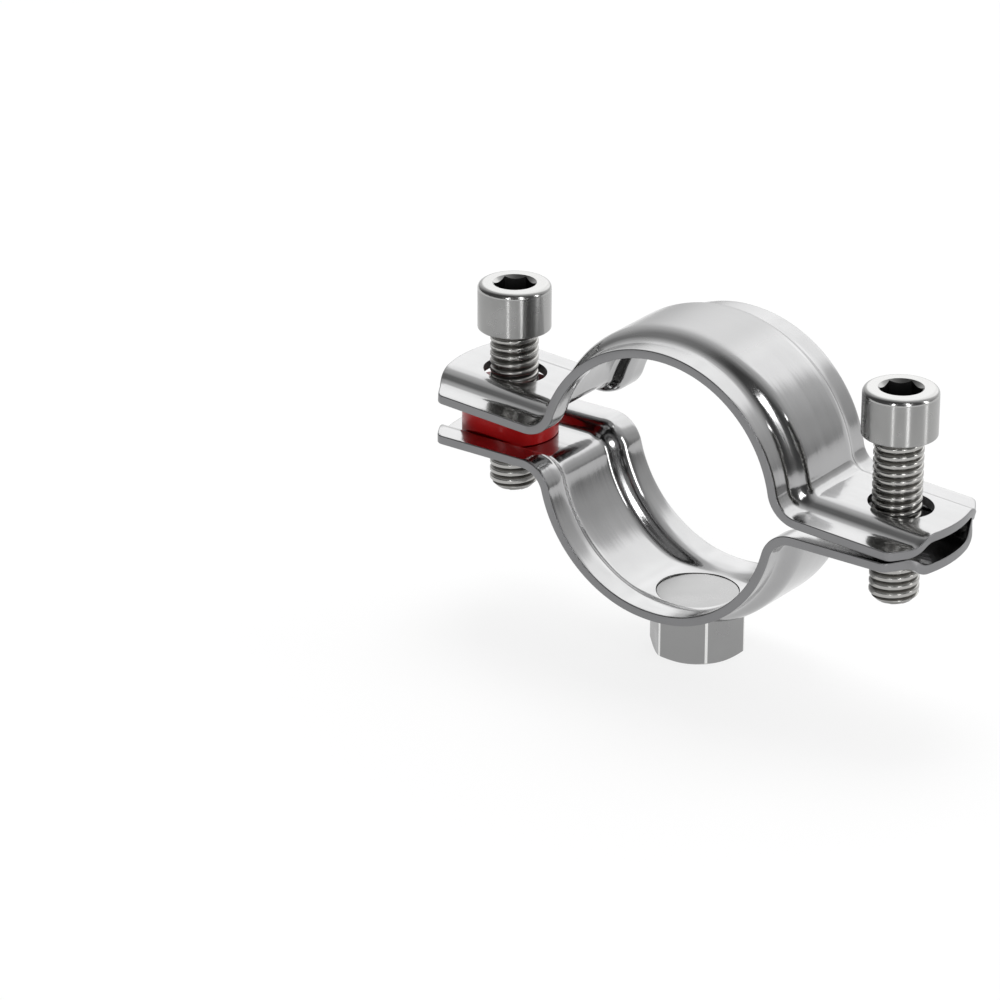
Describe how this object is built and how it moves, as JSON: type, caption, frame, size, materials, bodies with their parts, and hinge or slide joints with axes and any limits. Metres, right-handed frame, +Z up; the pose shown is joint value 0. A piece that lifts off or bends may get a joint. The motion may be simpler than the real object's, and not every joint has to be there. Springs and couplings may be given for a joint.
{
  "type": "pipe clamp bracket",
  "caption": "Split pipe clamp bracket of pressed sheet steel, closed by socket head screws, with a spacer ring and a threaded support nut underneath.",
  "frame": {"origin": "centre of the pipe seat, on the seat's axis in the middle of the strap's width", "axes": "+X towards the right-hand screw, whose head stands free; +Y along the pipe; +Z up, from the support nut towards the screw heads"},
  "size_m": [0.094, 0.0272, 0.0572],
  "materials": {
    "strap_steel": "polished",
    "screw_steel": "satin",
    "nut_steel": "satin",
    "red_plastic": "gloss"
  },
  "bodies": {
    "base": {"lower_half": "strap_steel", "support_nut": "nut_steel", "spacer_ring": "red_plastic"},
    "upper": {"upper_half": "strap_steel"},
    "left_screw": {"screw_left": "screw_steel"},
    "right_screw": {"screw_right": "screw_steel"}
  },
  "joints": [
    {"name": "upper_lift", "type": "slide", "parent": "base", "child": "upper", "axis": [0, 0, 1], "range_m": [0, 0.0025]},
    {"name": "left_screw_slide", "type": "slide", "parent": "base", "child": "left_screw", "axis": [0, 0, 1], "range_m": [-0.003, 0.006]},
    {"name": "right_screw_slide", "type": "slide", "parent": "base", "child": "right_screw", "axis": [0, 0, 1], "range_m": [-0.008, 0.006]}
  ]
}
